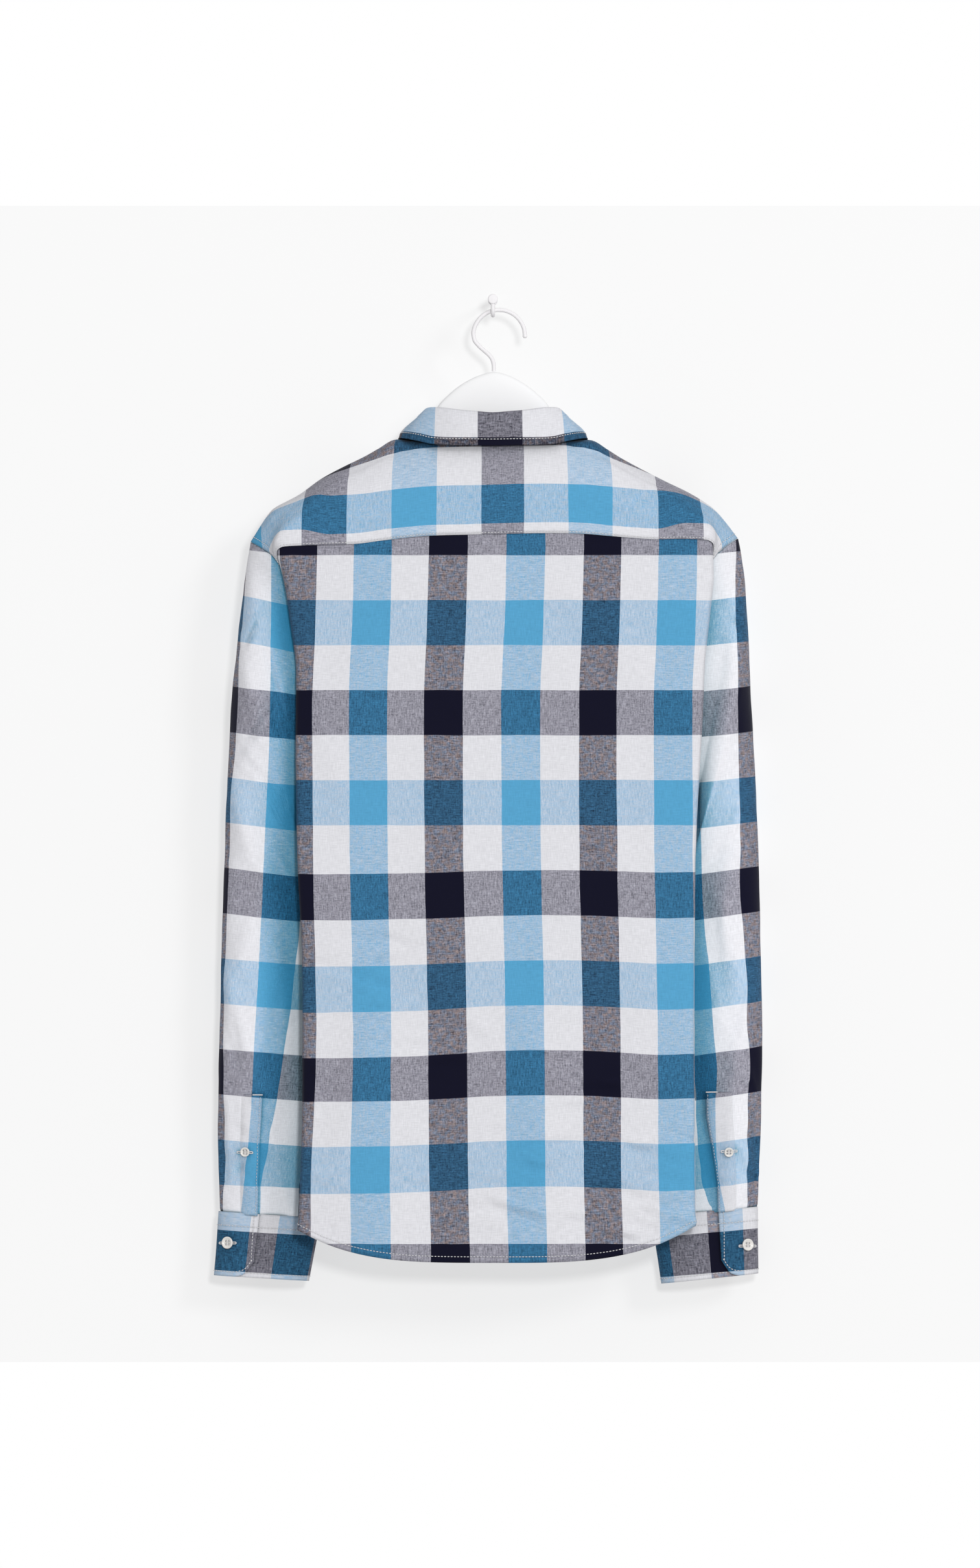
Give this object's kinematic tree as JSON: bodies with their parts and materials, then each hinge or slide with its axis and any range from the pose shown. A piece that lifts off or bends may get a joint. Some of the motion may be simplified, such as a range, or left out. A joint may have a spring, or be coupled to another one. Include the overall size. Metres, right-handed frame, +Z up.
{
  "type": "linen shirt on a wooden hanger and wall hook",
  "caption": "Long-sleeved linen shirt in a navy, blue and white check, hung by its wooden hanger from a plain wall hook, back towards the viewer.",
  "frame": {"origin": "centre of the wall hook's flat back face, on the wall", "axes": "+Z up, +Y into the wall, +X towards the wearer's right sleeve; the shirt's back faces -Y"},
  "size_m": [0.5091, 0.103, 0.9182],
  "materials": {
    "linen": "checked linen, plain weave, matt",
    "linen_trim": "the same checked linen, interlined",
    "button": "polished white, four holes",
    "hanger_wood": "white satin lacquer",
    "wire": "white, satin",
    "hook": "white, satin"
  },
  "bodies": {
    "root": {"back": "linen", "yoke": "linen", "front_left": "linen", "front_right": "linen", "front_placket": "linen_trim", "sleeve_left": "linen", "sleeve_right": "linen", "sleeve_placket_left": "linen_trim", "sleeve_placket_right": "linen_trim", "cuff_left": "linen_trim", "cuff_right": "linen_trim", "collar_stand": "linen_trim", "collar_leaf": "linen_trim", "front_button_1": "button", "front_button_2": "button", "front_button_3": "button", "front_button_4": "button", "front_button_5": "button", "front_button_6": "button", "front_button_7": "button", "cuff_button_left": "button", "cuff_button_right": "button", "sleeve_button_left": "button", "sleeve_button_right": "button", "hanger": "hanger_wood", "hanger_crook": "wire", "wall_hook": "hook"}
  },
  "joints": []
}
